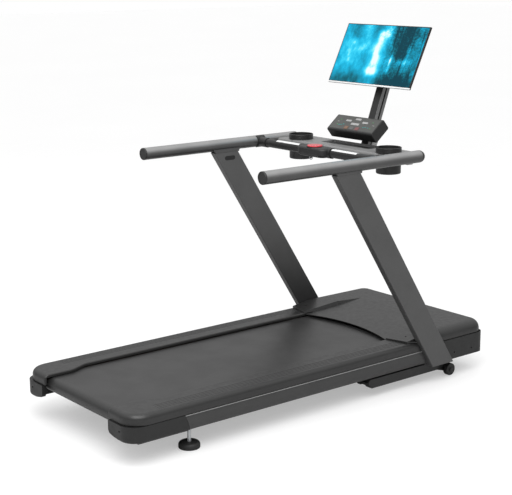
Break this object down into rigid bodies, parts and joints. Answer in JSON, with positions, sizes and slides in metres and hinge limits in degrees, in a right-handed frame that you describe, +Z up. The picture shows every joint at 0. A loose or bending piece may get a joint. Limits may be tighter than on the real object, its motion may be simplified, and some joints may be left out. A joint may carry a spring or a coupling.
{
  "type": "treadmill",
  "caption": "Motor-driven treadmill: flat running deck, leaning uprights, straight handrails, tray with cup holders, console and a tilting television on a pillar.",
  "frame": {"origin": "on the floor, under the middle of the machine's bounding box", "axes": "+X to the user's right, +Y forwards from the belt's rear end to the motor, +Z up"},
  "size_m": [0.909, 2.026, 1.6291],
  "materials": {
    "cover_plastic": "fine-grained satin",
    "cap_plastic": "fine-grained satin",
    "rail_steel": "satin powder coat",
    "frame_steel": "satin powder coat",
    "upright_paint": "matt powder coat",
    "handrail_paint": "satin silver-grey",
    "bright_steel": "brushed",
    "zinc": "zinc plated",
    "sensor_metal": "bright",
    "belt_rubber": "woven-faced, matt",
    "black_rubber": "matt",
    "deck_wood": "waxed laminate",
    "stop_red": "gloss",
    "key_orange": "satin",
    "key_grey": "satin",
    "tray_plastic": "satin",
    "cup_plastic": "satin",
    "console_plastic": "satin",
    "panel_film": "semi-gloss film",
    "pillar_aluminium": "anodised",
    "bracket_paint": "satin",
    "tv_plastic": "gloss",
    "tv_glass": "lit picture",
    "motor_case": "painted black",
    "controller_metal": "bare casting",
    "wheel_plastic": "matt"
  },
  "bodies": {
    "frame": {"side_rail_right": "rail_steel", "side_rail_left": "rail_steel", "cross_members": "frame_steel", "deck_board": "deck_wood", "deck_cushions": "black_rubber", "roller_axles": "bright_steel", "running_belt": "belt_rubber", "belt_adjusting_bolts": "zinc", "foot_rail_right": "cover_plastic", "foot_rail_left": "cover_plastic", "rear_cap_right": "cap_plastic", "rear_cap_left": "cap_plastic", "cover_screws": "zinc", "upright_right": "upright_paint", "upright_left": "upright_paint", "upright_plugs": "cap_plastic", "upright_bolts": "zinc", "handrail_saddles": "upright_paint", "handrail_right": "handrail_paint", "handrail_left": "handrail_paint", "handrail_end_caps": "cup_plastic", "crossbar": "cup_plastic", "crossbar_collars": "cup_plastic", "pulse_plates": "sensor_metal", "stop_housing": "console_plastic", "lanyard_hook": "zinc", "tray": "tray_plastic", "tray_mat": "black_rubber", "cup_holders": "cup_plastic", "console_shell": "console_plastic", "console_panel": "panel_film", "pillar": "pillar_aluminium", "pillar_base": "bracket_paint", "tv_bracket": "frame_steel", "motor_hood": "cover_plastic", "hood_wings": "cover_plastic", "front_skirt": "cap_plastic", "power_inlet": "console_plastic", "motor": "motor_case", "motor_controller": "controller_metal", "drive_belt": "black_rubber"},
    "front_roller": {"front_roller": "bright_steel"},
    "rear_roller": {"rear_roller": "bright_steel"},
    "motor_pulley": {"motor_pulley": "bright_steel"},
    "lift_frame": {"lift_frame": "frame_steel"},
    "wheel_right": {"wheel_right": "wheel_plastic"},
    "wheel_left": {"wheel_left": "wheel_plastic"},
    "lift_motor": {"lift_motor": "motor_case"},
    "lift_rod": {"lift_rod": "bright_steel"},
    "foot_right": {"foot_pad_right": "black_rubber", "foot_stud_right": "zinc"},
    "foot_left": {"foot_pad_left": "black_rubber", "foot_stud_left": "zinc"},
    "stop_button": {"stop_button": "stop_red"},
    "start_key": {"start_key": "key_orange"},
    "mode_key": {"mode_key": "key_grey"},
    "stop_key": {"stop_key": "stop_red"},
    "tv": {"tv_shell": "tv_plastic", "tv_screen": "tv_glass"},
    "power_switch": {"power_switch": "stop_red"}
  },
  "joints": [
    {"name": "front_roller_spin", "type": "hinge", "parent": "frame", "child": "front_roller", "pos_m": [0, 0.538, 0.1595], "axis": [1, 0, 0], "continuous": true},
    {"name": "rear_roller_spin", "type": "hinge", "parent": "frame", "child": "rear_roller", "pos_m": [0, -0.954, 0.1675], "axis": [1, 0, 0], "continuous": true},
    {"name": "motor_spin", "type": "hinge", "parent": "frame", "child": "motor_pulley", "pos_m": [-0.319, 0.758, 0.176], "axis": [1, 0, 0], "continuous": true},
    {"name": "lift_tilt", "type": "hinge", "parent": "frame", "child": "lift_frame", "pos_m": [0, 0.283, 0.072], "axis": [-1, 0, 0], "range_deg": [0, 20]},
    {"name": "wheel_right_roll", "type": "hinge", "parent": "lift_frame", "child": "wheel_right", "pos_m": [0.385, 0.807, 0.029], "axis": [1, 0, 0], "continuous": true},
    {"name": "wheel_left_roll", "type": "hinge", "parent": "lift_frame", "child": "wheel_left", "pos_m": [-0.385, 0.807, 0.029], "axis": [1, 0, 0], "continuous": true},
    {"name": "actuator_swing", "type": "hinge", "parent": "frame", "child": "lift_motor", "pos_m": [0.15, 0.951, 0.2], "axis": [1, 0, 0], "range_deg": [0, 14.8]},
    {"name": "actuator_stroke", "type": "slide", "parent": "lift_motor", "child": "lift_rod", "axis": [0, -0.938, -0.3468], "range_m": [0, 0.0656]},
    {"name": "foot_right_screw", "type": "slide", "parent": "frame", "child": "foot_right", "axis": [0, 0, 1], "range_m": [-0.015, 0.01]},
    {"name": "foot_left_screw", "type": "slide", "parent": "frame", "child": "foot_left", "axis": [0, 0, 1], "range_m": [-0.015, 0.01]},
    {"name": "stop_button_press", "type": "slide", "parent": "frame", "child": "stop_button", "axis": [0, 0, -1], "range_m": [0, 0.003], "stiffness_N_per_m": 600, "springref_m": -0.002},
    {"name": "start_key_press", "type": "slide", "parent": "frame", "child": "start_key", "axis": [0, 0.6347, -0.7727], "range_m": [0, 0.0009], "stiffness_N_per_m": 500, "springref_m": -0.001},
    {"name": "mode_key_press", "type": "slide", "parent": "frame", "child": "mode_key", "axis": [0, 0.6347, -0.7727], "range_m": [0, 0.0009], "stiffness_N_per_m": 500, "springref_m": -0.001},
    {"name": "stop_key_press", "type": "slide", "parent": "frame", "child": "stop_key", "axis": [0, 0.6347, -0.7727], "range_m": [0, 0.0009], "stiffness_N_per_m": 500, "springref_m": -0.001},
    {"name": "tv_tilt", "type": "hinge", "parent": "frame", "child": "tv", "pos_m": [0, 0.72578, 1.47029], "axis": [1, 0, 0], "range_deg": [-12, 12]},
    {"name": "power_rocker", "type": "hinge", "parent": "frame", "child": "power_switch", "pos_m": [-0.2, 1.0045, 0.136], "axis": [1, 0, 0], "range_deg": [-8, 8]}
  ],
  "couplings": [
    {"joint": "rear_roller_spin", "follows": "front_roller_spin", "ratio": 1.2667},
    {"joint": "motor_spin", "follows": "front_roller_spin", "ratio": 2},
    {"joint": "actuator_swing", "follows": "lift_tilt", "ratio": 0.7395},
    {"joint": "actuator_stroke", "follows": "lift_tilt", "m_per_rad": 0.1874}
  ]
}
